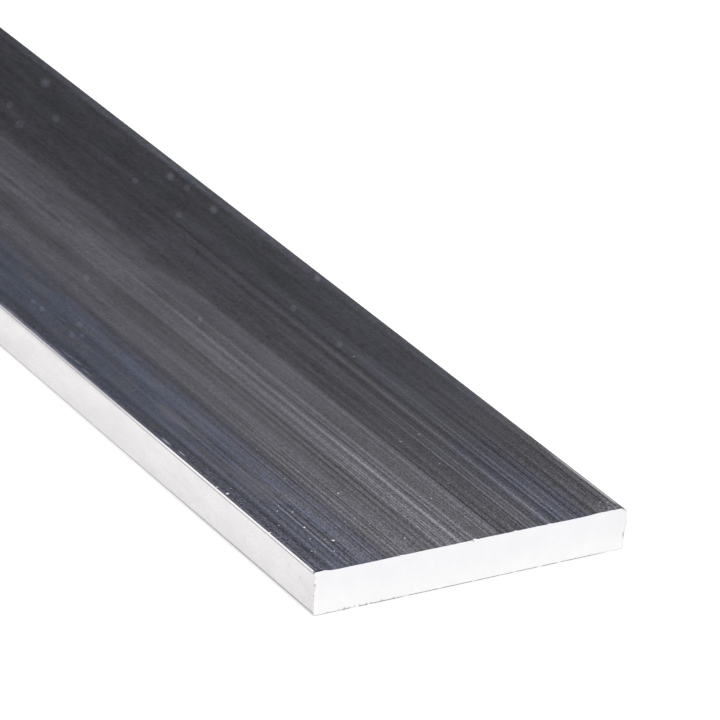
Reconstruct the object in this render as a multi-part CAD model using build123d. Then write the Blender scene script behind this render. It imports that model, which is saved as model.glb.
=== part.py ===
from build123d import *
import os

# Extruded aluminium flat bar, one solid piece, lying on one of its two wide faces.
# Millimetres. X runs along the bar, Y across its width and Z up through its thickness.
# The origin is the middle of the face that the bar lies on.

BAR_LENGTH = 304.8     # 12 in
BAR_WIDTH = 50.8       # 2 in
BAR_THICKNESS = 6.35   # 1/4 in
CORNER_RADIUS = 0.4    # 1/64 in, left by the die on each of the four long edges


def bar_section():
    """The cross-section that the die gives: a rounded rectangle that stands on its baseline."""
    section_centre = Pos(0, BAR_THICKNESS / 2)
    return section_centre * RectangleRounded(BAR_WIDTH, BAR_THICKNESS, CORNER_RADIUS)


def flat_bar():
    """The section run along X, half the length each way, and sawn off square with sharp end edges."""
    return extrude(Plane.YZ * bar_section(), amount=BAR_LENGTH / 2, both=True)


os.makedirs("parts", exist_ok=True)
export_step(flat_bar(), "parts/flat_bar.step")
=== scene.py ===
"""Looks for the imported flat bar: one piece of extruded aluminium, sawn off at both ends.

The bar lies along X on the floor. The end that the camera is near is at +X, and the long edge
that it sees is at -Y, the front. Lengths named here are in millimetres, and MM turns them into the
metres that Blender works in.

"Along" is a distance from the +X end, from the front end of the cut's top edge. "Across" is a
distance from the middle of the width, negative towards the front. A pair of such distances says
where something begins and where it is full.
"""
import math

import bmesh
import bpy
import numpy as np
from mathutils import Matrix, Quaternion, Vector
from mathutils.geometry import delaunay_2d_cdt


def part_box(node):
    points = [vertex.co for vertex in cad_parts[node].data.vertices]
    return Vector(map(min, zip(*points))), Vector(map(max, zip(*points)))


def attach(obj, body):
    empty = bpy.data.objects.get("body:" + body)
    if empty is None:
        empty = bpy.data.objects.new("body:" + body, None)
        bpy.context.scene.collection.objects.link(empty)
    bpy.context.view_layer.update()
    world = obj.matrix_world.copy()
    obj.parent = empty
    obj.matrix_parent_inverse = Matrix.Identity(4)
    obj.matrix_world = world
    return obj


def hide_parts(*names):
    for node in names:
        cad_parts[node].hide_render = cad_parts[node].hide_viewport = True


MM = 0.001

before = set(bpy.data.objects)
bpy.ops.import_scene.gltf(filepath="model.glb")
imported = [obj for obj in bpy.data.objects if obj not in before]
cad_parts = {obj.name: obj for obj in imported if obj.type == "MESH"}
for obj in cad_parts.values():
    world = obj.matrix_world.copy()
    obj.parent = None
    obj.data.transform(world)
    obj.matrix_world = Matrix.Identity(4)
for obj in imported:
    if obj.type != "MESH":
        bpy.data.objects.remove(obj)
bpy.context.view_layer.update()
BAR_LOW, BAR_HIGH = (np.array(corner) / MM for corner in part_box("flat_bar"))
LENGTH, WIDTH, THICKNESS = BAR_HIGH - BAR_LOW

# The section
CORNER_RADIUS = 0.4          # on the four long edges, as the solid has it
TOP_STEPS = 600              # points across the top face, close enough to carry the die lines
BOTTOM_STEPS = 200
SIDE_STEPS = 40              # points up a long side
CORNER_STEPS = 8
GUARD = 0.02                 # a thin strip beside each rounding, so that the flats shade flat
SKIN_TURN_HIGH = 13.0        # degrees round an upper long edge that the wide-face skin, painted dark, reaches
SKIN_TURN_LOW = 76.0         # and round a lower one, far enough that the dark skin there is painted contact shade
DIE_LINE_DEPTH = 0.006       # of the deepest of the lines that the die left
BOTTOM, BACK, TOP, FRONT = range(4)    # the strips of skin round the section
WIDE_STRIPS = (BOTTOM, TOP)
WIDE_FACE_SLOT, LONG_SIDE_SLOT, SAWN_END_SLOT = range(3)    # the bar's materials

# The sawn ends. The blade drifted at the +X end, so the cut lies a little inside the full length,
# and a lip of unsawn metal stands out to it at the upper back corner, where the blade came out.
CUT_LOW_FRONT, CUT_LOW_BACK = 0.08, 0.28    # how far inside the cut's bottom edge lies, at front and back
CUT_TOP_FRONT, CUT_TOP_BACK = 0.53, 0.61    # and its top edge
NEAR_END = LENGTH / 2 - CUT_TOP_FRONT       # where distances along the bar are taken from
LIP_WIDTH = 0.7              # of the lip, in from the back side
LIP_LOW, LIP_HIGH = 1.8, 4.6    # heights where it begins and where it is at its full length
TOP_EDGE_WAVE = ((10, 0), (16, -0.09), (19, -0.07), (20.8, 0.09), (23, 0))    # across, and more of it there
BURR = 0.05                  # the narrow rounding that the blade left round each end
BURR_LOW = 0.12              # along its bottom edge
BURR_FRONT = 0.10            # and up its front edge
BURR_MIDDLE = 0.29           # share of its size at which its middle ring lies
ROLLED_LENGTH, ROLLED_DEPTH = 0.8, 0.14    # more of it at the front end of the top edge, along and down
ROLLED_FROM, ROLLED_TO = 3.2, 0.5          # distances from the front side where that begins and is full
ROLLED_LOW, ROLLED_HIGH = 0.35, 0.1        # and from the top face
SAW_DEPTH, SAW_LEAN = 0.012, 0.35          # of the marks that the blade left
NICKS = ((5.7, 0.06), (4.6, 0.2), (3.85, 0.06), (2.9, 0.1), (2.2, 0.05))    # (height, depth), near corner
CHIPS = ((-11.5, 0.1), (0.4, 0.3), (7.0, 0.12), (12.6, 0.12), (22.9, 0.1))    # (across, depth), top edge
NICK_REACH = 0.3
CHIP_REACH, CHIP_FLAT = 0.5, 0.1    # from a chip's middle, where it begins and where it is at its full depth
GRID_INSET = 0.45            # of the grid of points in a sawn end from its edges
GRID_ACROSS, GRID_UP = 200, 16

# The lines that the die drew along the top face, by their places across
BRIGHTEST_LINES = (-19.8, -2.05, 3.9, 9.25, 12.7)
BRIGHT_LINES = (-24.7, -21.9, -17.4, -16.4, -12.6, -11.85, -10.4, -7.6, -6.4, -5.0, -3.4, -1.75, -0.6, 0.35,
                10.6, 14.7, 15.6, 17.05, 19.5)
FAINT_BRIGHT_LINES = (-15.0, -13.5, -10.9, -9.6, -4.0, 2.75, 6.6, 7.2, 18.3, 21.2)
DARK_LINES = (-24.4, -22.9, -19.4, -18.3, -15.4, -14.0, -12.2, -8.1, -7.0, -2.6, -1.0, 4.9, 8.7, 11.8, 14.2,
              23.3)
FAINT_DARK_LINES = (-21.3, -20.3, -18.7, -17.7, -13.1, -11.4, -5.85, -4.3, -0.2, 1.1, 1.95, 5.9, 7.6, 10.35,
                    11.2, 13.7, 15.1, 16.6, 17.8, 18.8, 20.6, 22.8)
LINE_SETS = ((BRIGHTEST_LINES, 0.7, 0.24), (BRIGHT_LINES, 0.36, 0.24), (FAINT_BRIGHT_LINES, 0.18, 0.24),
             (DARK_LINES, -0.38, 0.26), (FAINT_DARK_LINES, -0.18, 0.24))    # with their strength and reach
HAIRLINES = 420              # fainter ones between them, at random
HAIRLINE_REACH, HAIRLINE_STRENGTH = (0.1, 0.22), 0.11
SOFT_REACH = 0.45            # over which the lines are softened
LINE_TONE = "line_tone"      # the attributes that carry the lines to the skin's material
SOFT_LINE_TONE = "soft_line_tone"

# The skin of the wide faces: the same metal as the long sides, painted dark as a painted reflection of dark
# surroundings
SKIN_LEVEL = 0.132           # of light that it gives back, on average: painted dark, a painted reflection of dark surroundings
LEAST_LEVEL = 0.015
SKIN_ROUGHNESS = 0.24
# painted shade: the skin is painted darker further along the bar, where less light is reflected
FADE = ((0, 1.04), (12, 1.01), (22, 0.95), (45, 0.89), (75, 0.835), (LENGTH, 0.845))    # (along, share)
NEAR = (20.0, 6.0)           # along, of the crispest stretch
FAR = (30.0, 130.0)          # and of the plainest
SOFTER = (20.0, 64.0)        # where the lines turn from sharp to soft
LINE_STRENGTH = ((0, 1.14), (12, 1.1), (25, 1.14), (42, 1.12), (62, 0.83), (85, 0.62), (125, 0.46),
                 (LENGTH, 0.45))
SPECKLE_STRENGTH = ((0, 2.1), (25, 1.6), (40, 1.0), (60, 0.5), (90, 0.25), (LENGTH, 0.2))

# Its broad tone from front to back, as (across, share of the average), and how far that blurs far off
BANDS = ((-25.4, 0.45), (-25.05, 0.56), (-24.85, 0.94), (-24.55, 0.94), (-24.1, 0.8), (-22.8, 0.78),
         (-22.0, 0.98), (-19.6, 1.02), (-18.3, 0.98), (-17.3, 1.09), (-14.3, 1.0), (-12.9, 1.17),
         (-10.0, 1.19), (-8.9, 1.05), (-5.6, 0.98), (-5.05, 1.47), (-3.0, 1.43), (-1.5, 1.6),
         (-1.0, 1.26), (0.5, 1.24), (1.2, 1.06), (4.3, 1.13), (4.65, 0.86), (8.8, 0.76), (12.1, 0.73),
         (12.6, 0.92), (13.1, 0.73), (14.2, 0.66), (15.4, 0.73), (17.8, 0.7), (22.8, 0.79), (25.4, 1.05))
BAND_BLUR = 0.9
# How the step from the light to the dark bands wanders: middle and reach across, then (along, shift)
STEP_PLACE = (3.8, 3.5)
STEP_SHIFTS = (((80.0, 97.0), 1.3), ((109.0, 114.0), -1.7))
# Where the tone departs from the bands, as (along, across, change)
TONE_CHANGES = ((FAR, (22.6, 24.6), 0.58), (NEAR, (4.6, 5.4), 0.1), (NEAR, (-17.0, -21.0), -0.1),
                ((5.0, 2.0), (-8.0, -13.0), 0.09), ((68.0, 80.0), (-24.1, -24.7), 0.25),
                ((45.0, 78.0), (-24.6, -25.0), 0.9))
# and as (along, middle and reach across, change)
TONE_STRIPS = (((85.0, 110.0), (-23.0, 3.0), 0.2), ((20.0, 40.0), (-23.4, 1.4), -0.1),
               ((75.0, 100.0), (12.6, 0.6), -0.17), ((8.0, 3.0), (23.6, 1.2), -0.12))
DARK_SIDE = (4.4, 5.0)       # across, where the dark bands begin
DARK_SIDE_CHANGES = (((20.0, 55.0), -0.1), (FAR, -0.07))     # of them, as (along, change)
PATCH_SIDES = ((4.6, 5.4), (16.0, 12.0))
PATCH_CHANGES = (((84.0, 90.0), 0.05), ((104.0, 110.0), -0.09))

# Its noises: bends per millimetre along X, Y and Z, then detail, seed and, where it is set, roughness
BAND_WANDER, BAND_JITTER = ((0.2, 0.1, 0.0), 2.0, 1.0), ((0.7, 0.7, 0.0), 1.0, 2.0)
LINE_CHANGE = (0.03, 1.4, 0.0), 2.0, 3.0
HAIR, SOFT_HAIR = ((0.025, 3.2, 0.0), 2.0, 5.0, 0.6), ((0.012, 0.9, 0.0), 2.0, 6.0)
GRAIN = (0.9, 3.6, 2.0), 2.0, 9.0, 0.6
SPECKLE, SOFT_SPECKLE = ((3.0, 4.8, 5.0), 0.0, 13.0), ((2.2, 2.6, 2.0), 0.0, 15.0)
BLOTCH = (1.0, 1.6, 2.0), 1.0, 14.0
CLOUD, MOTTLE = ((0.05, 0.22, 0.0), 2.0, 17.0), ((0.1, 0.6, 0.0), 2.0, 18.0)
STREAK = (0.004, 0.5, 0.0), 2.0, 19.0
WIPE_NOISE, SMUDGE_NOISE = ((0.2, 2.0, 0.0), 2.0, 22.0), ((0.3, 1.2, 0.0), 2.0, 23.0)
GLINT_NOISE, NAVY_NOISE = ((0.8, 0.8, 0.0), 1.0, 24.0), ((0.12, 0.4, 0.0), 2.0, 25.0)
FRONT_LINE_NOISE, SCUFF_NOISE = ((0.6, 0.0, 0.0), 2.0, 26.0), ((1.6, 2.6, 0.0), 2.0, 27.0)
SMEAR_NOISE, TEAL_NOISE = ((0.7, 3.0, 0.0), 1.0, 28.0), ((0.07, 0.3, 0.0), 1.0, 29.0)

# Where along and across its lines are stronger, its speckle coarser or softer, and its blotches begin
STRONG_LINES = (35.0, 12.0), (3.0, 6.0)
BEADED = (45.0, 15.0)
SOFT_SPECKLED = (25.0, 65.0)
SPECKLED_MARGIN = (-23.9, 1.7)    # middle and reach across
BLOTCHED = (15.0, 60.0), (3.5, 5.5)

# Its tints, and the colours of the marks on it; the bluer grey further along and the navy are painted
# reflection of bluish surroundings
GREY_NEAR, GREY_FAR = (0.978, 0.961, 1.105), (0.978, 0.961, 1.245)
PLUM, TEAL, VIOLET = (0.975, 0.952, 1.27), (0.9, 0.985, 1.22), (0.955, 0.945, 1.26)
NAVY_NEAR, NAVY_FAR = (0.865, 0.918, 1.28), (0.79, 0.925, 1.38)
MARGIN_TINT, SMUDGE_TINT = (0.965, 0.935, 1.26), (0.985, 0.95, 1.2)
WORN_COLOUR, SMEAR_COLOUR, SPECK_COLOUR = (0.6, 0.6, 0.63), (0.42, 0.42, 0.47), (0.9, 0.9, 0.9)
BLUER_ALONG, BLUER_ACROSS = (10.0, 110.0), (4.0, 6.0, 0.45, 1.0)
BEYOND = (22.0, 50.0)        # along, where the navy widens and the back turns plum and teal
AT_END = (33.0, 25.0)        # and where the back is navy and violet instead
BACK_TINTED = (13.0, 14.5)   # across, of the plum and teal
VIOLET_BACK, VIOLET_FRONT = (17.8, 3.2), (-14.8, 2.2)    # middle and reach across
MARGIN_ACROSS = (-21.5, -22.6)    # of the front margin
NAVY_EDGE_NEAR, NAVY_EDGE_FAR, NAVY_FULL = -14.5, -12.8, -17.5    # across, of the navy part at the front
NAVY_RIM = (-25.25, -24.5)   # and where that stops at the front side
BACK_NAVY, BACK_NAVY_FAINT = (15.8, 5.0), (11.0, 9.0)    # middle and reach across
BACK_NAVY_FADE = (30.0, 8.0, 0.6, 1.1)      # along from and to, and its strength there
NAVY_DEEPENS = (30.0, 65.0)  # along

# Marks on the top face, as (along, across, radius)
SPECKS = ((25.9, -24.5, 0.3), (7.7, -18.0, 0.3), (12.7, -19.7, 0.22), (19.9, -10.0, 0.18),
          (17.4, -18.9, 0.15), (13.2, -24.9, 0.2), (28.2, -24.9, 0.2), (4.9, -19.5, 0.13),
          (4.4, -8.4, 0.13), (8.4, -19.0, 0.11), (18.5, -20.7, 0.12), (6.1, -22.4, 0.12),
          (19.9, -19.7, 0.1), (9.4, -20.7, 0.12), (13.4, 1.4, 0.11), (14.6, -22.7, 0.12),
          (3.0, 23.0, 0.12), (2.5, 23.9, 0.1))
FAINT_SPECKS = ((2.8, -24.9, 0.2), (21.4, -24.9, 0.2), (30.9, -24.3, 0.2), (22.5, -24.3, 0.2),
                (11.4, -24.4, 0.2), (27.1, -23.3, 0.22), (5.8, -22.0, 0.22), (1.7, -19.8, 0.2),
                (7.1, -16.7, 0.2), (22.3, -17.1, 0.2), (26.8, -14.7, 0.28), (11.9, -13.6, 0.18),
                (36.4, -13.8, 0.18), (28.1, -11.7, 0.27), (10.1, -10.7, 0.25), (12.6, -3.3, 0.2),
                (21.5, -0.6, 0.22), (14.4, 0.2, 0.2), (5.1, 0.8, 0.18), (7.6, 3.3, 0.2),
                (16.5, 6.1, 0.22), (30.6, 6.7, 0.3), (22.3, 8.2, 0.25), (31.6, 10.4, 0.33),
                (57.6, 15.0, 0.3), (4.0, 15.5, 0.18), (1.3, 23.3, 0.2))
DUST_PER_MM, DUST_SIZE = 0.45, (0.03, 0.055)    # random specks of dust, and their size as a share of the gaps
DUST_FADE = (15.0, 60.0, 0.45, 0.0)         # along from and to, and their strength there
SMUDGES = ((27.0, -19.7, 7.5), (51.0, -19.7, 5.5))
WIPES = ((25.5, -18.7, 0.55), (31.5, -19.1, 0.65), (38.5, -11.0, 0.75), (43.5, -18.6, 0.55),
         (51.0, -19.8, 1.2), (55.0, -18.5, 0.6))
SMEARS = ((39.4, -24.3, 0.2), (43.8, -24.5, 0.27), (68.1, -24.2, 0.35), (72.0, -23.8, 0.35),
          (74.3, -24.0, 0.3), (75.9, -24.7, 0.3), (82.8, -24.8, 0.45), (87.0, -24.8, 0.4),
          (90.3, -24.8, 0.5))
SMEAR_FADE = (50.0, 65.0, 1.0, 0.32)        # as that of the dust
# painted highlights on the top face: round blurred glints, and their brighter cores
GLINT_DISCS = ((62.0, 15.1, 0.9), (75.6, 15.1, 1.0), (97.0, -8.6, 1.0), (77.6, 0.1, 0.8),
               (80.0, -20.2, 0.9), (79.2, -18.9, 0.7), (82.8, -17.4, 0.9), (89.8, -20.0, 0.9),
               (92.6, -20.0, 0.8), (83.6, 23.9, 1.1), (111.8, 21.8, 1.5), (120.6, 22.0, 1.1),
               (125.6, 21.8, 1.6), (112.0, 15.7, 1.1), (126.0, 15.7, 1.1), (152.4, 9.1, 1.5),
               (160.0, 11.4, 1.2), (152.4, 15.7, 1.4), (166.0, 21.1, 1.8))
GLINT_CORES = ((77.6, 0.1, 0.5), (83.6, 23.9, 0.7), (111.8, 21.8, 0.9), (125.6, 21.8, 1.0),
               (166.0, 21.1, 1.1))
# Sharp lines near the end, as (across, reach, change of level), and where along they begin and stop
FRONT_LINES = ((-19.87, 0.15, 0.17), (-19.5, 0.2, -0.035), (-18.4, 0.22, -0.04), (-17.85, 0.2, -0.035),
               (-21.5, 0.25, -0.025), (-23.0, 0.4, -0.02))
FRONT_LINE_ENDS = ((3.0, 5.0), (21.0, 19.0))
BACK_LINE, BACK_LINE_ENDS = (24.15, 0.22), (8.0, 4.0)    # middle and reach across, and along
BACK_GAP, BACK_GAP_ENDS = (24.6, 0.45), (12.0, 7.0)
WORN_STRIP, WORN_ENDS = (24.55, 24.8), ((23.0, 13.0), (1.0, 2.6))
SCUFFED_CORNER = ((4.0, 0.6), (20.0, 23.2))    # along and across

# The brighter skin of the long sides
EDGE_LEVEL = 0.74            # of light that it gives back
EDGE_ROUGHNESS = 0.26
EDGE_TINT = (1.0, 0.975, 0.985)
EDGE_LINES, EDGE_CLOUD = ((0.01, 1.0, 3.0), 2.0, 31.0), ((0.16, 0.5, 0.4), 2.0, 33.0)    # its noises
EDGE_MOTTLE = (0.7, 1.0, 1.2), 2.0, 35.0
DABS = ((3.8, 4.0, 0.5), (6.9, 4.4, 0.6))    # of dirt: along, height, radius
NEAR_SHADE = (5.0, 0.0)      # along, where it darkens towards the end
FOOT = (0.62, 0.3)           # heights of its lowest part, which is painted lighter by FOOT_LIGHT, and near the end painted darker as contact shade
FOOT_LIGHT = 0.06
# painted shade: the foot darker near the end as contact shade, and the upper edge's highlight and the band
# under it darker further along
EDGE_CHANGES = (((50.0, 22.0), FOOT, -0.28), ((36.0, 66.0), (6.1, 6.24), -0.33),
                ((85.0, 150.0), (5.3, 5.8), -0.12))      # (along, heights, change)
# painted shade: a dark line under the upper edge's highlight near the end, and a faint one further along
EDGE_STRIPS = (((62.0, 34.0), (6.13, 0.14), -0.16), ((50.0, 75.0), (5.8, 0.3), -0.07))
ROUGHER_HIGH, ROUGHER_FAR = (5.5, 5.9), (80.0, 170.0)    # heights and along, where it is rougher

# The sawn ends' bare metal
END_LEVELS = ((0.0, 0.905), (1.0, 0.885), (2.5, 0.86), (4.5, 0.84), (6.4, 0.84))    # height, light given back; painted lighter towards the bottom, a painted reflection of the lit floor
END_ROUGHNESS = 0.34
END_TINT_LOW, END_TINT_HIGH = (1.0, 0.998, 0.998), (0.985, 0.982, 1.004)
END_MARKS, END_CLOUD = ((0.0, 2.5, 0.5), 3.0, 41.0), ((0.3, 0.3, 0.3), 2.0, 43.0)    # their noises
END_SCRATCH, CONTACT_SHADE_NOISE = ((0.0, 1.2, 3.5), 2.0, 45.0), ((0.0, 0.5, 0.0), 3.0, 47.0)
CONTACT_SHADE_SPOTS = ((-23.2, 0.18), (-21.5, 0.2), (-20.5, 0.34), (-19.8, 0.22), (-18.9, 0.2), (-18.1, 0.26), (-17.0, 0.26),
        (-16.3, 0.2), (-14.5, 0.26), (-12.6, 0.24))    # spots of painted contact shade over the bottom edge: across and radius
UNDER_LIP = (LENGTH / 2 - 0.3, WIDTH / 2 - 0.15, 2.25), 0.6    # the shade there: middle and radius
BACK_SHADE = (WIDTH / 2 - 0.25, WIDTH / 2 - 0.05), (5.0, 4.0)    # across and heights, of the back edge's
FRONT_LIGHT = (-WIDTH / 2 + 0.9, -WIDTH / 2 + 0.4)    # across, of the front edge's
BACK_DIM = (20.0, 24.0)      # across, where an end is a little darker
TINT_TURNS = (1.5, 4.0)      # heights, from the low tint to the high one
CONTACT_SHADE = (0.19, 0.1)           # heights, of a line of painted contact shade
CONTACT_SHADE_FRONT = (-WIDTH / 2 + 0.5, -WIDTH / 2 + 6.0, 0.45, 1.0)    # across from and to, and its strength there
CONTACT_SHADE_BACK = (WIDTH / 2 - 6.0, WIDTH / 2 - 2.0, 1.0, 0.2)

# The camera, fitted to the photograph's edges, with its turns in degrees
CAMERA_PLACE = (746.18, -401.90, 371.84)
CAMERA_TURN = 32.666         # that it looks off the bar's length, towards +Y
CAMERA_DOWN = 25.313         # below the horizon
CAMERA_ROLL = 4.437          # right side up
CAMERA_LENS = 290.24
SENSOR = 36.0

# The studio, with its lengths in metres
FLOOR_REACH, FLOOR_DROP = 12.0, 0.00002
FLOOR_GLOW = 0.52            # what camera, mirror and glass rays see of the floor by itself
FLOOR_PAINT = 0.60           # what it gives back of the light that falls on it
WALL_RADIUS, WALL_FOOT, WALL_TOP = 1.2, 0.04, 1.2
WALL_DIM_TO, WALL_BRIGHT_FROM = 0.40, 1.05    # heights
WALL_DIM, WALL_BRIGHT = 0.12, 1.5
WALLS = (("back_wall", 40, 172), ("front_wall", 232, 300))    # with their directions, in degrees
SOFTBOXES = (("left_softbox", 172, 232, 1.42), ("right_softbox", -60, 40, 1.5))    # and brightness
SOFTBOX_FOOT = 0.25
OVERHEAD_RADIUS, OVERHEAD_HEIGHT, OVERHEAD_BRIGHT = 1.15, 1.35, 1.15


# ---------------------------------------------------------------- the shape

def smooth_noise(places, spacing, seed):
    """A smooth random curve from -1 to 1 with about one bend per spacing."""
    rng = np.random.default_rng(seed)
    first = math.floor(places.min() / spacing) - 2
    knots = rng.uniform(-1, 1, int((places.max() - places.min()) / spacing) + 8)
    t = places / spacing - first
    k = t.astype(int)
    part = t - k
    part = part * part * (3 - 2 * part)
    return knots[k] * (1 - part) + knots[k + 1] * part


def step(value, low, high):
    """0 below low and 1 above high, with a smooth rise between them."""
    t = np.clip((value - low) / (high - low), 0, 1)
    return t * t * (3 - 2 * t)


def guarded(low, high, steps):
    """Even places from low to high, with one more just inside each end."""
    return np.concatenate([[low, low + GUARD], np.linspace(low, high, steps + 1)[1:-1], [high - GUARD, high]])


def section():
    """Points round the section, their outward directions, and the strip of skin that follows each."""
    half, r = WIDTH / 2, CORNER_RADIUS
    flat, top = half - r, THICKNESS - r
    points, out, strips = [], [], []

    def run(places, outward, strip):
        for place in places:
            points.append(place)
            out.append(outward)
            strips.append(strip)

    def corner(middle, start, before, after):
        """A rounding, from start to 90 degrees on, where strip before gives way to strip after."""
        wide_turn = SKIN_TURN_HIGH if middle[1] > r else SKIN_TURN_LOW
        change = wide_turn if before in WIDE_STRIPS else 90 - wide_turn
        turns = np.linspace(0, 90, CORNER_STEPS + 1)[1:-1]
        turns[np.argmin(np.abs(turns - change))] = change
        for turn in turns:
            a = math.radians(start + turn)
            outward = (math.cos(a), math.sin(a))
            run([(middle[0] + r * outward[0], middle[1] + r * outward[1])], outward,
                before if turn < change else after)

    up = guarded(r, top, SIDE_STEPS)
    run([(y, 0) for y in guarded(-flat, flat, BOTTOM_STEPS)], (0, -1), BOTTOM)
    corner((flat, r), -90, BOTTOM, BACK)
    run([(half, z) for z in up], (1, 0), BACK)
    corner((flat, top), 0, BACK, TOP)
    run([(y, THICKNESS) for y in guarded(-flat, flat, TOP_STEPS)[::-1]], (0, 1), TOP)
    corner((-flat, top), 90, TOP, FRONT)
    run([(-half, z) for z in up[::-1]], (-1, 0), FRONT)
    corner((-flat, r), 180, FRONT, BOTTOM)
    while strips[-1] == BOTTOM:
        for ring in (points, out, strips):
            ring.insert(0, ring.pop())
    return np.array(points), np.array(out), np.array(strips)


def line_tone(points):
    """How much lighter or darker the lines leave each point of the section, as a share of its band."""
    y = points[:, 0]

    def near(lines, reach):
        away = np.min(np.abs(y[:, None] - np.array(lines)), axis=1)
        return np.clip(1 - away / reach, 0, 1)

    drawn = sum(strength * near(lines, reach) for lines, strength, reach in LINE_SETS)
    unseen = -drawn[::-1]    # the lower half has other lines: the same tones, turned round
    tone = np.where(points[:, 1] > THICKNESS / 2, drawn, unseen)
    rng = np.random.default_rng(31)
    for _ in range(HAIRLINES):
        middle, reach = rng.uniform(-WIDTH / 2, WIDTH / 2), rng.uniform(*HAIRLINE_REACH)
        strength = rng.normal(0, HAIRLINE_STRENGTH)
        tone += strength * np.clip(1 - np.abs(y - middle) / reach, 0, 1)
    return tone


def length_round(points):
    """How far round the section each point lies."""
    return np.cumsum(np.hypot(*np.diff(points, axis=0, prepend=points[:1]).T))


def softened(points, tone):
    """The same tones with their lines wider and fainter."""
    reach = np.arange(-1.0, 1.01, 0.1)
    weights = np.exp(-(reach / SOFT_REACH) ** 2)
    along = length_round(points)
    spread = sum(w * np.interp(along + r, along, tone, period=along[-1]) for r, w in zip(reach, weights))
    return spread / weights.sum()


def die_lines(points, tone):
    """How far each point of the section lies under the plain shape."""
    along = length_round(points)
    wavy = 0.6 * smooth_noise(along, 0.9, 11) + 0.4 * smooth_noise(along, 0.45, 12)
    return DIE_LINE_DEPTH * (1 - 0.5 * wavy - 0.5 * tone.clip(-1, 1)) / 2


def cut_back(y, z):
    """How far the cut at the +X end lies inside the full length."""
    y, z = np.asarray(y, float), np.asarray(z, float)
    to_front = (0.5 - y / WIDTH).clip(0, 1)
    low = CUT_LOW_BACK + (CUT_LOW_FRONT - CUT_LOW_BACK) * to_front
    high = CUT_TOP_BACK + (CUT_TOP_FRONT - CUT_TOP_BACK) * to_front + np.interp(y, *zip(*TOP_EDGE_WAVE))
    back = low + (high - low) * z / THICKNESS
    lip = step(y, WIDTH / 2 - LIP_WIDTH, WIDTH / 2 - 0.4 * LIP_WIDTH) * step(z, LIP_LOW, LIP_HIGH)
    return back * (1 - lip)


def saw_marks(y, z):
    """How deep the blade's marks are in a sawn end."""
    lean = y + SAW_LEAN * z
    wave = np.sin(lean * 5.1) + 0.6 * np.sin(lean * 8.3 + 1.0) + 0.4 * np.sin(lean * 2.2 + z)
    return SAW_DEPTH * (0.5 + wave / 4)


def rolled(points):
    """1 where the blade rolled the top edge over, at its front end."""
    y, z = points.T
    at_front = step(y, -WIDTH / 2 + ROLLED_FROM, -WIDTH / 2 + ROLLED_TO)
    return at_front * step(z, THICKNESS - ROLLED_LOW, THICKNESS - ROLLED_HIGH)


def burr_size(points):
    """The size of the rounding round a sawn end, larger along some edges, at the nicks and at the chips."""
    y, z = points.T
    count = np.arange(len(points))
    size = BURR * (1 + 0.5 * smooth_noise(count * 0.1, 1.1, 21) + 0.4 * smooth_noise(count * 0.1, 4.0, 22))
    size += (BURR_LOW - BURR) * step(z, 0.35, 0.0)
    at_front = step(y, -WIDTH / 2 + 0.3, -WIDTH / 2 + 0.05)
    size += (BURR_FRONT - BURR) * at_front
    for height, depth in NICKS:
        size += depth * at_front * np.clip(1 - np.abs(z - height) / NICK_REACH, 0, 1)
    for place, depth in CHIPS:
        size += depth * step(z, THICKNESS - 0.3, THICKNESS) * step(np.abs(y - place), CHIP_REACH, CHIP_FLAT)
    return size


def stations():
    """Places along the bar: close together near the sawn ends, and wide apart between them."""
    near = np.concatenate([np.arange(1.0, 6, 0.5), np.arange(6, 20, 1.4)])
    middle = np.arange(20, LENGTH / 2, 7.0)
    half = LENGTH / 2 - np.concatenate([near, middle])
    return np.unique(np.round(np.concatenate([-half, half]), 4))


class Net:
    """The flat layout of the bar's faces on one square map, in pixels of a map of MAP_SIZE."""
    MAP_SIZE, MARGIN = 1024, 8
    STRIP_WIDTHS = {BOTTOM: 396, BACK: 60, TOP: 396, FRONT: 60}
    END_WIDTH = 60

    def __init__(self, points, strips):
        self.along = np.concatenate([[0], np.cumsum(np.hypot(*np.diff(points, axis=0, append=points[:1]).T))])
        self.strips = strips
        self.low, self.first, self.last = {}, {}, {}
        low = self.MARGIN
        for strip, width in self.STRIP_WIDTHS.items():
            spans = np.flatnonzero(strips == strip)
            self.low[strip] = low
            self.first[strip], self.last[strip] = self.along[spans[0]], self.along[spans[-1] + 1]
            low += width + self.MARGIN
        self.ends_low = low

    def side(self, x, i, span):
        """Where point i at x goes on the map, as an end of this span."""
        strip = self.strips[span]
        share = (self.along[i] - self.first[strip]) / (self.last[strip] - self.first[strip])
        u = self.MARGIN + (x / LENGTH + 0.5) * (self.MAP_SIZE - 2 * self.MARGIN)
        return u / self.MAP_SIZE, (self.low[strip] + share * self.STRIP_WIDTHS[strip]) / self.MAP_SIZE

    def end(self, y, z, side):
        """Where this place on the sawn end of this side goes on the map."""
        room = self.MAP_SIZE / 2 - 2 * self.MARGIN
        start = self.MARGIN + (self.MAP_SIZE / 2 if side > 0 else 0)
        return ((start + (y / WIDTH + 0.5) * room) / self.MAP_SIZE,
                (self.ends_low + z / THICKNESS * self.END_WIDTH) / self.MAP_SIZE)


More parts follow.
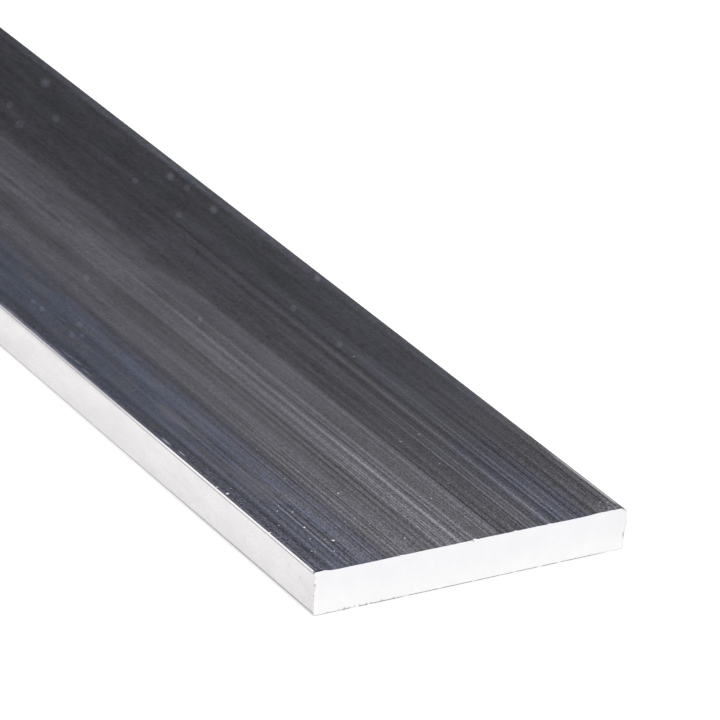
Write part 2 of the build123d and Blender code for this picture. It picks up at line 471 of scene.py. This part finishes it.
def bar_mesh():
    """One closed skin: the drawn length, a fine rounding round each end, and the two sawn faces."""
    points, out, strips = section()
    tone = line_tone(points)
    soft_tone = softened(points, tone)
    sunk = die_lines(points, tone)
    net = Net(points, strips)
    count = len(points)
    verts, faces, slots, sharp, places = [], [], [], [], []
    tones = {LINE_TONE: [], SOFT_LINE_TONE: []}

    def ring(x, inset=0.0):
        """Points round the section at x, and the number of the first of them."""
        first = len(verts)
        at = points - out * (sunk + inset)[:, None]
        verts.extend(zip(np.broadcast_to(x, count).tolist(), at[:, 0].tolist(), at[:, 1].tolist()))
        tones[LINE_TONE].extend(tone.tolist())
        tones[SOFT_LINE_TONE].extend(soft_tone.tolist())
        return first

    def quad(a, b, i, slot, place):
        """The face between rings a and b from point i to the next."""
        j = (i + 1) % count
        faces.append((a + i, a + j, b + j, b + i))
        slots.append(slot)
        places.extend((place(a + i, i), place(a + j, i + 1), place(b + j, i + 1), place(b + i, i)))

    def keep_sharp(first):
        sharp.extend((first + i, first + (i + 1) % count) for i in range(count))

    burr = burr_size(points)
    reach = burr + ROLLED_LENGTH * rolled(points)
    burr = burr + ROLLED_DEPTH * rolled(points)
    ends = {-1: np.full(count, -LENGTH / 2), 1: LENGTH / 2 - cut_back(points[:, 0], points[:, 1])}
    edge = {side: ring(ends[side] - side * reach) for side in (-1, 1)}
    rings = [edge[-1]] + [ring(x) for x in stations()] + [edge[1]]
    for a, b in zip(rings, rings[1:]):
        for i in range(count):
            slot = WIDE_FACE_SLOT if strips[i] in WIDE_STRIPS else LONG_SIDE_SLOT
            quad(a, b, i, slot, lambda v, k: net.side(verts[v][0], k, i))
    for side in (-1, 1):
        middle = ring(ends[side] - side * reach * BURR_MIDDLE, burr * BURR_MIDDLE)
        rim = ring(ends[side], burr)
        for a, b in ((edge[side], middle), (middle, rim)):
            for i in range(count):
                quad(a, b, i, SAWN_END_SLOT, lambda v, k: net.end(verts[v][1], verts[v][2], side))
        keep_sharp(edge[side])
        keep_sharp(rim)
        fill_end(verts, faces, slots, places, rim, count, side, net)
    for values in tones.values():
        values.extend([0.0] * (len(verts) - len(values)))
    return finish_mesh(verts, tones, faces, slots, places, sharp)


def fill_end(verts, faces, slots, places, rim, count, side, net):
    """Fills a sawn end between its rim and a grid of inner points that carries the saw marks."""
    border = [Vector((verts[rim + i][1], verts[rim + i][2])) for i in range(count)]
    ys = np.linspace(-WIDTH / 2 + GRID_INSET, WIDTH / 2 - GRID_INSET, GRID_ACROSS)
    zs = np.linspace(GRID_INSET, THICKNESS - GRID_INSET, GRID_UP)
    inner = [Vector((float(y), float(z))) for y in ys for z in zs]
    edges = [(i, (i + 1) % count) for i in range(count)]
    flat, _, tris, origin, _, _ = delaunay_2d_cdt(border + inner, edges, [], 1, 1e-7)
    index = []
    for place, sources in zip(flat, origin):
        source = min(sources)
        if source < count:
            index.append(rim + source)
        else:
            back = saw_marks(place.x, place.y) + (cut_back(place.x, place.y) if side > 0 else 0)
            verts.append((float(side * (LENGTH / 2 - back)), place.x, place.y))
            index.append(len(verts) - 1)
    for tri in tris:
        faces.append(tuple(index[i] for i in tri))
        slots.append(SAWN_END_SLOT)
        places.extend(net.end(verts[index[i]][1], verts[index[i]][2], side) for i in tri)


def finish_mesh(verts, tones, faces, slots, places, sharp):
    """The mesh in metres, with its map, its tones and its sharp edges."""
    mesh = bpy.data.meshes.new("flat_bar_body")
    mesh.from_pydata([tuple(c * MM for c in v) for v in verts], [], faces)
    mesh.polygons.foreach_set("material_index", slots)
    mesh.uv_layers.new(name="OFBake").data.foreach_set("uv", np.array(places, "f4").ravel())
    for name, values in tones.items():
        mesh.attributes.new(name, "FLOAT", "POINT").data.foreach_set("value", values)
    work = bmesh.new()
    work.from_mesh(mesh)
    work.verts.ensure_lookup_table()
    bmesh.ops.recalc_face_normals(work, faces=work.faces)
    for face in work.faces:
        face.smooth = True
    for a, b in sharp:
        work.edges.get((work.verts[a], work.verts[b])).smooth = False
    work.to_mesh(mesh)
    work.free()
    return mesh


# ---------------------------------------------------------------- the materials

class Shader:
    """A material's nodes, made with one short call each."""

    def __init__(self, name):
        self.material = bpy.data.materials.new(name)
        self.material.use_nodes = True
        self.tree = self.material.node_tree
        self.tree.nodes.clear()

    def add(self, kind, inputs=None, **settings):
        node = self.tree.nodes.new(kind)
        for key, value in settings.items():
            setattr(node, key, value)
        for key, value in (inputs or {}).items():
            if isinstance(value, bpy.types.NodeSocket):
                self.tree.links.new(value, node.inputs[key])
            else:
                node.inputs[key].default_value = value
        return node

    def math(self, operation, a, b):
        return self.add("ShaderNodeMath", {0: a, 1: b}, operation=operation).outputs[0]

    def total(self, start, *parts):
        """start, plus each value times its share."""
        for value, share in parts:
            inputs = {0: value, 1: share, 2: start}
            start = self.add("ShaderNodeMath", inputs, operation="MULTIPLY_ADD").outputs[0]
        return start

    def between(self, value, low, high, to_low=0.0, to_high=1.0, smooth=True):
        return self.add("ShaderNodeMapRange", {0: value, 1: low, 2: high, 3: to_low, 4: to_high},
                        interpolation_type="SMOOTHSTEP" if smooth else "LINEAR").outputs[0]

    def finish(self, surface):
        """The material, with this node as its surface."""
        self.add("ShaderNodeOutputMaterial", {"Surface": surface.outputs[0]})
        return self.material


class Skin(Shader):
    """A surface of the bar, with places in millimetres."""

    def __init__(self, name):
        super().__init__(name)
        self.place = self.scaled(self.add("ShaderNodeTexCoord").outputs["Object"], 1 / MM)
        self.x, self.y, self.z = self.add("ShaderNodeSeparateXYZ", {0: self.place}).outputs
        self.along = self.math("SUBTRACT", NEAR_END, self.x)

    def scaled(self, vector, share):
        return self.add("ShaderNodeVectorMath", {0: vector, "Scale": share}, operation="SCALE").outputs[0]

    def times(self, first, *others):
        for other in others:
            first = self.math("MULTIPLY", first, other)
        return first

    def noise(self, stretch, detail, seed, rough=0.5):
        """Noise from 0 to 1, with stretch bends per millimetre along each axis."""
        at = self.add("ShaderNodeVectorMath", {0: self.place, 1: stretch, 2: (seed, seed, seed)},
                      operation="MULTIPLY_ADD").outputs[0]
        return self.add("ShaderNodeTexNoise",
                        {"Vector": at, "Scale": 1.0, "Detail": detail, "Roughness": rough}).outputs["Fac"]

    def ripple(self, stretch, detail, seed, rough=0.5):
        """The same noise from -0.5 to 0.5."""
        return self.math("SUBTRACT", self.noise(stretch, detail, seed, rough), 0.5)

    def around(self, value, middle, reach):
        """1 at the middle, falling smoothly to 0 at the reach on both sides."""
        away = self.math("ABSOLUTE", self.math("SUBTRACT", value, middle), 0.0)
        return self.between(away, 0.0, reach, 1.0, 0.0)

    def zone(self, along, across):
        """1 where both a run along the bar and one across it are full."""
        return self.times(self.between(self.along, *along), self.between(self.y, *across))

    def changed(self, start, value, changes, strips):
        """start, plus each change where it sets in along the bar and in this value, and each strip's."""
        for along, run, change in changes:
            part = self.times(self.between(self.along, *along), self.between(value, *run))
            start = self.total(start, (part, change))
        for along, strip, change in strips:
            part = self.times(self.between(self.along, *along), self.around(value, *strip))
            start = self.total(start, (part, change))
        return start

    def curve(self, value, points):
        """Straight runs between (value, level) points."""
        (low, _), (high, _) = points[0], points[-1]
        ramp = self.add("ShaderNodeValToRGB", {0: self.between(value, low, high, smooth=False)})
        stops = ramp.color_ramp.elements
        while len(stops) < len(points):
            stops.new(0.5)
        for stop, (place, _) in zip(stops, points):
            stop.position = (place - low) / (high - low)
        for stop, (_, level) in zip(stops, points):
            stop.color = (level / 2, level / 2, level / 2, 1)
        return self.math("MULTIPLY", ramp.outputs[0], 2.0)

    def spots(self, spots, soft=0.5, stretch=(1.0, 1.0, 1.0), lean=0.0):
        """1 inside each (place, radius), falling off over the outer part of the radius."""
        leant = self.total(self.x, (self.y, lean))
        leant = self.add("ShaderNodeCombineXYZ", {0: leant, 1: self.y, 2: self.z}).outputs[0]
        at = self.add("ShaderNodeVectorMath", {0: leant, 1: stretch}, operation="MULTIPLY").outputs[0]
        found = 0.0
        for (x, y, z), radius in spots:
            middle = tuple(c * k for c, k in zip((x + lean * y, y, z), stretch))
            away = self.add("ShaderNodeVectorMath", {0: at, 1: middle}, operation="DISTANCE").outputs["Value"]
            found = self.math("MAXIMUM", found, self.between(away, radius * (1 - soft), radius, 1.0, 0.0))
        return found

    def top_spots(self, marks, *look):
        """The same for marks of the top face, given as (along, across, radius)."""
        spots = [((NEAR_END - along, across, THICKNESS), radius) for along, across, radius in marks]
        return self.spots(spots, *look)

    def blend(self, share, first, second):
        return self.add("ShaderNodeMix", {0: share, 4: first, 5: second}, data_type="VECTOR").outputs[1]

    def grey(self, level, tint):
        """A colour of this level, with this tint."""
        return self.scaled(tint, level)

    def metal(self, colour, roughness, height, depth, **constants):
        """The finished material, with this height as relief of this depth."""
        relief = self.add("ShaderNodeBump", {"Height": height, "Distance": depth * MM, "Strength": 1.0})
        inputs = {"Base Color": colour, "Metallic": 1.0, "Roughness": roughness, "Normal": relief.outputs[0]}
        return self.finish(self.add("ShaderNodeBsdfPrincipled", {**inputs, **constants}))


def band_tone(s, far):
    """The skin's broad bands. Their edges wander and blur further along."""
    uneven = s.total(0.0, (s.ripple(*BAND_WANDER), 2.4), (s.ripple(*BAND_JITTER), 1.6))
    wander = s.total(s.times(uneven, far), *((s.between(s.along, *run), shift) for run, shift in STEP_SHIFTS))
    across = s.total(s.y, (wander, s.around(s.y, *STEP_PLACE)))
    blur = s.times(far, BAND_BLUR)
    blurred = ((s.math("SUBTRACT", across, blur), 0.35), (across, 0.3), (s.math("ADD", across, blur), 0.35))
    band = s.total(0.0, *((s.curve(place, BANDS), share) for place, share in blurred))
    deepen = s.total(0.0, *((s.between(s.along, *run), change) for run, change in DARK_SIDE_CHANGES))
    patch = s.total(0.0, *((s.between(s.along, *run), change) for run, change in PATCH_CHANGES))
    band = s.total(band, (deepen, s.between(across, *DARK_SIDE)),
                   (patch, s.times(*(s.between(s.y, *run) for run in PATCH_SIDES))))
    return s.changed(band, s.y, TONE_CHANGES, TONE_STRIPS)


def line_pattern(s, hair, grain, far):
    """The drawn lines and hairlines, sharp near the end and soft further along, with speckle between them."""
    softer = s.between(s.along, *SOFTER)
    sharper = s.math("SUBTRACT", 1.0, softer)
    lines = s.add("ShaderNodeAttribute", attribute_name=LINE_TONE).outputs["Fac"]
    soft_lines = s.add("ShaderNodeAttribute", attribute_name=SOFT_LINE_TONE).outputs["Fac"]
    lines = s.total(s.times(lines, sharper), (s.times(soft_lines, softer), 1.9))
    varied = s.times(lines, s.total(0.35, (s.noise(*LINE_CHANGE), 1.3)))
    stronger = s.zone(*STRONG_LINES)
    varied = s.times(varied, s.total(1.0, (stronger, 0.33)))
    soft_hair = s.ripple(*SOFT_HAIR)
    all_hair = s.total(s.times(hair, sharper), (soft_hair, softer))
    drawn = s.times(s.total(0.0, (varied, 1.25), (all_hair, 0.9)), s.curve(s.along, LINE_STRENGTH))

    speckle = s.ripple(*SPECKLE)
    soft_speckle = s.times(s.ripple(*SOFT_SPECKLE), s.between(s.along, *SOFT_SPECKLED))
    fine = s.total(s.times(speckle, s.curve(s.along, SPECKLE_STRENGTH)), (soft_speckle, 0.55))
    fine = s.times(fine, s.total(1.0, (s.around(s.y, *SPECKLED_MARGIN), 0.8)))
    beads = s.times(lines, speckle, s.between(s.along, *BEADED))

    blotched = s.total(0.0, (s.between(s.along, *BLOTCHED[0]), 0.2), (s.zone(*BLOTCHED), 0.55), (far, 0.1))
    coarse = s.times(s.ripple(*BLOTCH), blotched)
    return s.total(drawn, (grain, 0.2), (fine, 1.0), (coarse, 1.0), (beads, 1.5))


def specks_of_dust(s):
    """The bright specks that stand by themselves."""
    return s.total(s.times(s.top_spots(SPECKS), 0.78), (s.top_spots(FAINT_SPECKS, 0.9), 0.27))


def fine_dust(s):
    """Tiny random specks between them, fading along the bar."""
    cells = s.add("ShaderNodeTexVoronoi", {"Vector": s.place, "Scale": DUST_PER_MM, "Randomness": 1.0},
                  feature="F1")
    return s.times(s.between(cells.outputs["Distance"], *DUST_SIZE, 1.0, 0.0), s.between(s.along, *DUST_FADE))


def smears(s):
    """Short pale streaks on the front margin."""
    streaks = s.times(s.top_spots(SMEARS, 0.8, (0.12, 1.0, 1.0)), s.between(s.noise(*SMEAR_NOISE), 0.3, 0.5))
    return s.times(streaks, s.between(s.along, *SMEAR_FADE))


def wipes(s):
    """Long faint streaks left by wiping."""
    return s.times(s.top_spots(WIPES, 0.8, (0.13, 1.0, 1.0)), s.total(0.3, (s.noise(*WIPE_NOISE), 1.2)))


def blurred_glints(s):
    """Round pale discs of painted highlights: blurred glints, some with a brighter core."""
    stretch, lean = (1.0, 1.2, 1.0), 1.0
    uneven = s.total(0.6, (s.noise(*GLINT_NOISE), 0.6))
    drops = s.times(s.top_spots(GLINT_DISCS, 0.45, stretch, lean), uneven)
    return s.total(drops, (s.top_spots(GLINT_CORES, 0.9, stretch, lean), 0.9))


def scuffs(s):
    """Scratched patches in the back corner at the end."""
    return s.times(s.zone(*SCUFFED_CORNER), s.between(s.noise(*SCUFF_NOISE), 0.46, 0.6))


def worn_margin(s):
    """The thin bare strip along the back edge near the end."""
    worn = s.times(s.between(s.y, *WORN_STRIP), *(s.between(s.along, *run) for run in WORN_ENDS))
    return s.times(worn, s.total(0.85, (s.between(s.along, 12.0, 6.0), 0.15)))


def single_lines(s):
    """Change of level by the sharp lines at the front, and by the line and the gap at the back."""
    front = s.total(0.0, *((s.around(s.y, across, reach), change) for across, reach, change in FRONT_LINES))
    front = s.times(front, *(s.between(s.along, *run) for run in FRONT_LINE_ENDS),
                    s.total(0.4, (s.noise(*FRONT_LINE_NOISE), 1.2)))
    line = s.times(s.around(s.y, *BACK_LINE), s.between(s.along, *BACK_LINE_ENDS))
    gap = s.times(s.around(s.y, *BACK_GAP), s.between(s.along, *BACK_GAP_ENDS))
    return s.total(front, (line, 0.05), (gap, -0.07))


def skin_colour(s, level):
    """The skin's grey, bluer further along, with plum and teal, violet and patchy navy parts; the bluer grey
    and the navy are painted reflection of bluish surroundings.
    """
    bluer = s.zone(BLUER_ALONG, BLUER_ACROSS)
    colour = s.grey(level, s.blend(bluer, GREY_NEAR, GREY_FAR))
    at_end = s.between(s.along, *AT_END)
    patchy = s.between(s.noise(*TEAL_NOISE), 0.4, 0.6)
    colour = s.blend(s.zone(BEYOND, BACK_TINTED), colour, s.grey(level, s.blend(patchy, PLUM, TEAL)))
    violet = s.math("MAXIMUM", s.times(s.around(s.y, *VIOLET_BACK), at_end), s.around(s.y, *VIOLET_FRONT))
    colour = s.blend(violet, colour, s.grey(level, VIOLET))
    colour = s.blend(s.between(s.y, *MARGIN_ACROSS), colour, s.grey(level, MARGIN_TINT))

    front_edge = s.between(s.between(s.along, *BEYOND), 0.0, 1.0, NAVY_EDGE_NEAR, NAVY_EDGE_FAR)
    front = s.times(s.between(s.y, front_edge, NAVY_FULL), s.between(s.y, *NAVY_RIM))
    back = s.times(s.around(s.y, *BACK_NAVY), at_end, s.between(s.along, *BACK_NAVY_FADE))
    back = s.total(back, (s.times(s.around(s.y, *BACK_NAVY_FAINT), at_end), 0.25))
    broken = s.between(s.noise(*NAVY_NOISE), 0.38, 0.62)
    navy = s.times(s.math("MAXIMUM", front, back), s.total(0.4, (broken, 0.95)))
    tint = s.blend(s.between(s.along, *NAVY_DEEPENS), NAVY_NEAR, NAVY_FAR)
    return s.blend(navy, colour, s.grey(level, tint))


def painted_dark_wide_face_skin():
    """Satin skin painted dark, a painted reflection of dark surroundings, with lengthwise bands and
    hairlines, crisp near the +X end and softer away from it.
    """
    s = Skin("painted_dark_wide_face_skin")
    far = s.between(s.along, *FAR)
    hair = s.ripple(*HAIR)
    grain = s.ripple(*GRAIN)
    cloud = s.ripple(*CLOUD)
    mottle = s.times(s.ripple(*MOTTLE), s.total(0.2, (far, 0.8)))
    streak = s.ripple(*STREAK)
    smudged = s.top_spots(SMUDGES, 0.5, (1.0, 4.0, 1.0))
    smudges = s.times(smudged, s.total(0.4, (s.noise(*SMUDGE_NOISE), 0.9)))
    specks = specks_of_dust(s)
    glints = blurred_glints(s)

    pattern = s.times(line_pattern(s, hair, grain, far), s.total(1.0, (smudged, -0.55)))
    uneven = s.total(1.0, (cloud, 0.35), (mottle, 1.0), (streak, 0.2), (pattern, 1.0))
    level = s.times(band_tone(s, far), uneven, s.curve(s.along, FADE), SKIN_LEVEL)
    level = s.total(s.math("MAXIMUM", level, LEAST_LEVEL), (smudges, 0.008), (wipes(s), 0.035), (glints, 0.045),
                    (fine_dust(s), 0.12), (scuffs(s), 0.2), (single_lines(s), 1.0))
    level = s.math("MAXIMUM", level, LEAST_LEVEL)

    colour = s.blend(s.times(smudges, 0.65), skin_colour(s, level), s.grey(level, SMUDGE_TINT))
    colour = s.blend(worn_margin(s), colour, WORN_COLOUR)
    colour = s.blend(smears(s), colour, SMEAR_COLOUR)
    colour = s.blend(specks, colour, SPECK_COLOUR)
    roughness = s.total(SKIN_ROUGHNESS, (grain, 0.1), (hair, 0.08), (cloud, 0.08), (glints, 0.04), (specks, 0.3))
    height = s.total(hair, (grain, 0.4), (specks, 0.6))
    return s.metal(colour, roughness, height, 0.012, Metallic=s.math("SUBTRACT", 1.0, specks))


def painted_nick_shade(s):
    """1 in the small nicks of the near upright edge, where shade is painted dark."""
    return s.spots([((NEAR_END, -WIDTH / 2, height), 0.12 + depth) for height, depth in NICKS], 0.8)


def edge_skin():
    """Brighter skin of the long sides, faintly clouded, with painted shade along its edges and in the nicks,
    a foot painted lighter, and a few dabs of grey.
    """
    s = Skin("edge_skin")
    lines = s.ripple(*EDGE_LINES)
    cloud = s.ripple(*EDGE_CLOUD)
    mottle = s.ripple(*EDGE_MOTTLE)
    dabs = s.spots([((NEAR_END - along, -WIDTH / 2, up), radius) for along, up, radius in DABS], 0.7)
    level = s.total(EDGE_LEVEL, (cloud, 0.13), (mottle, 0.06), (lines, 0.03), (dabs, -0.05),
                    (painted_nick_shade(s), -0.3), (s.between(s.along, *NEAR_SHADE), -0.045),
                    (s.between(s.z, *FOOT), FOOT_LIGHT))
    level = s.changed(level, s.z, EDGE_CHANGES, EDGE_STRIPS)
    rougher = s.times(s.between(s.z, *ROUGHER_HIGH), s.between(s.along, *ROUGHER_FAR))
    roughness = s.total(EDGE_ROUGHNESS, (cloud, 0.12), (mottle, 0.06), (rougher, 0.25))
    return s.metal(s.grey(level, EDGE_TINT), roughness, s.total(lines, (mottle, 0.5)), 0.006)


def painted_contact_shade(s):
    """A broken line of painted contact shade low on a sawn end, less of it towards the sides."""
    broken = s.between(s.noise(*CONTACT_SHADE_NOISE), 0.36, 0.5)
    return s.times(s.between(s.z, *CONTACT_SHADE), broken, s.between(s.y, *CONTACT_SHADE_FRONT), s.between(s.y, *CONTACT_SHADE_BACK))


def sawn_end():
    """Bright sawn metal with fine upright marks, painted lighter towards the bottom, with painted shade in
    the nicks, under the lip, at the back edge and along the bottom edge.
    """
    s = Skin("sawn_end")
    marks = s.ripple(*END_MARKS)
    cloud = s.ripple(*END_CLOUD)
    scratch = s.ripple(*END_SCRATCH)
    under_lip = s.spots([UNDER_LIP], 0.9, (1.0, 1.8, 0.75))
    back_edge = s.times(s.between(s.y, *BACK_SHADE[0]), s.between(s.z, *BACK_SHADE[1]))
    front_edge = s.between(s.y, *FRONT_LIGHT)
    contact_spots = [((LENGTH / 2 - 0.1, across, 0.2), radius) for across, radius in CONTACT_SHADE_SPOTS]
    level = s.total(s.curve(s.z, END_LEVELS), (cloud, 0.06), (marks, 0.03), (scratch, 0.02),
                    (under_lip, -0.25), (back_edge, -0.14), (front_edge, 0.02), (painted_nick_shade(s), -0.35),
                    (painted_contact_shade(s), -0.75), (s.spots(contact_spots, 0.8, (0.3, 1.0, 1.0)), -0.3),
                    (s.between(s.y, *BACK_DIM), -0.02))
    tint = s.blend(s.between(s.z, *TINT_TURNS), END_TINT_LOW, END_TINT_HIGH)
    roughness = s.total(END_ROUGHNESS, (marks, 0.15))
    return s.metal(s.grey(s.math("MAXIMUM", level, 0.1), tint), roughness, marks, 0.01)


# ---------------------------------------------------------------- the studio

def link(thing):
    bpy.context.scene.collection.objects.link(thing)
    return thing


def floor():
    """A plain white floor, with the bar's faint shadow left on it."""
    mesh = bpy.data.meshes.new("floor")
    corners = ((-1, -1), (1, -1), (1, 1), (-1, 1))
    mesh.from_pydata([(FLOOR_REACH * x, FLOOR_REACH * y, 0) for x, y in corners], [], [(0, 1, 2, 3)])
    plane = link(bpy.data.objects.new("floor", mesh))
    plane.location.z = -FLOOR_DROP
    s = Shader("floor_white")
    rays = s.add("ShaderNodeLightPath").outputs
    seen = ("Is Camera Ray", "Is Glossy Ray", "Is Transmission Ray")
    glow = s.add("ShaderNodeEmission", {"Strength": s.total(0.0, *((rays[ray], FLOOR_GLOW) for ray in seen))})
    paint = s.add("ShaderNodeBsdfDiffuse", {"Color": (FLOOR_PAINT, FLOOR_PAINT, FLOOR_PAINT, 1)})
    white = s.finish(s.add("ShaderNodeAddShader", {0: glow.outputs[0], 1: paint.outputs[0]}))
    white.cycles.emission_sampling = "NONE"
    plane.data.materials.append(white)


def card_glow(name, low, high, dim, bright):
    """Plain light from dim at height low to bright at height high."""
    s = Shader(name)
    place = s.add("ShaderNodeNewGeometry").outputs["Position"]
    height = s.add("ShaderNodeSeparateXYZ", {0: place}).outputs["Z"]
    return s.finish(s.add("ShaderNodeEmission", {"Strength": s.between(height, low, high, dim, bright)}))


def stage_card(name, verts, faces, material):
    mesh = bpy.data.meshes.new(name)
    mesh.from_pydata(verts, [], faces)
    mesh.materials.append(material)
    card = link(bpy.data.objects.new(name, mesh))
    card.visible_camera = False


def ring_card(name, low, high, start, end, material, steps=48):
    """An upright curved card round the bar, between two heights and two directions in degrees."""
    verts = []
    for i in range(steps + 1):
        a = math.radians(start + (end - start) * i / steps)
        verts += [(WALL_RADIUS * math.cos(a), WALL_RADIUS * math.sin(a), z) for z in (low, high)]
    faces = [(2 * i, 2 * i + 2, 2 * i + 3, 2 * i + 1) for i in range(steps)]
    stage_card(name, verts, faces, material)


def overhead_card(sides=32):
    """A round card of even light above the bar."""
    turns = np.linspace(0, 2 * math.pi, sides + 1)[:-1]
    rim = [(OVERHEAD_RADIUS * math.cos(a), OVERHEAD_RADIUS * math.sin(a), OVERHEAD_HEIGHT) for a in turns]
    stage_card("overhead", rim, [tuple(range(sides))],
               card_glow("overhead", 0, 1, OVERHEAD_BRIGHT, OVERHEAD_BRIGHT))


def studio():
    """White all round, grey walls that brighten upwards, a softbox at each end and a large one above."""
    world = bpy.data.worlds.new("studio")
    bpy.context.scene.world = world
    world.use_nodes = True
    background = world.node_tree.nodes["Background"]
    background.inputs["Color"].default_value = (1, 1, 1, 1)
    background.inputs["Strength"].default_value = 1.0
    wall = card_glow("wall", WALL_DIM_TO, WALL_BRIGHT_FROM, WALL_DIM, WALL_BRIGHT)
    for name, start, end in WALLS:
        ring_card(name, WALL_FOOT, WALL_TOP, start, end, wall)
    for name, start, end, bright in SOFTBOXES:
        softbox = card_glow(name, SOFTBOX_FOOT, 2 * SOFTBOX_FOOT, 0.75 * bright, bright)
        ring_card(name + "_foot", WALL_FOOT, SOFTBOX_FOOT, start, end, wall)
        ring_card(name, SOFTBOX_FOOT, WALL_TOP, start, end, softbox)
    overhead_card()


def camera():
    data = bpy.data.cameras.new("camera")
    data.sensor_width = SENSOR
    data.lens = CAMERA_LENS
    data.clip_start, data.clip_end = 0.05, 50
    eye = link(bpy.data.objects.new("camera", data))
    turn, down = math.radians(CAMERA_TURN), math.radians(CAMERA_DOWN)
    ahead = Vector((-math.cos(turn) * math.cos(down), math.sin(turn) * math.cos(down), -math.sin(down)))
    level = ahead.to_track_quat("-Z", "Y")
    eye.rotation_mode = "QUATERNION"
    eye.rotation_quaternion = level @ Quaternion((0, 0, 1), math.radians(CAMERA_ROLL))
    eye.location = Vector(CAMERA_PLACE) * MM
    bpy.context.scene.camera = eye


# ---------------------------------------------------------------- put together

bar = link(bpy.data.objects.new("flat_bar_body", bar_mesh()))
for finish in (painted_dark_wide_face_skin(), edge_skin(), sawn_end()):
    bar.data.materials.append(finish)
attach(bar, "root")
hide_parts("flat_bar")

floor()
studio()
camera()
bpy.context.scene.view_settings.view_transform = "Standard"
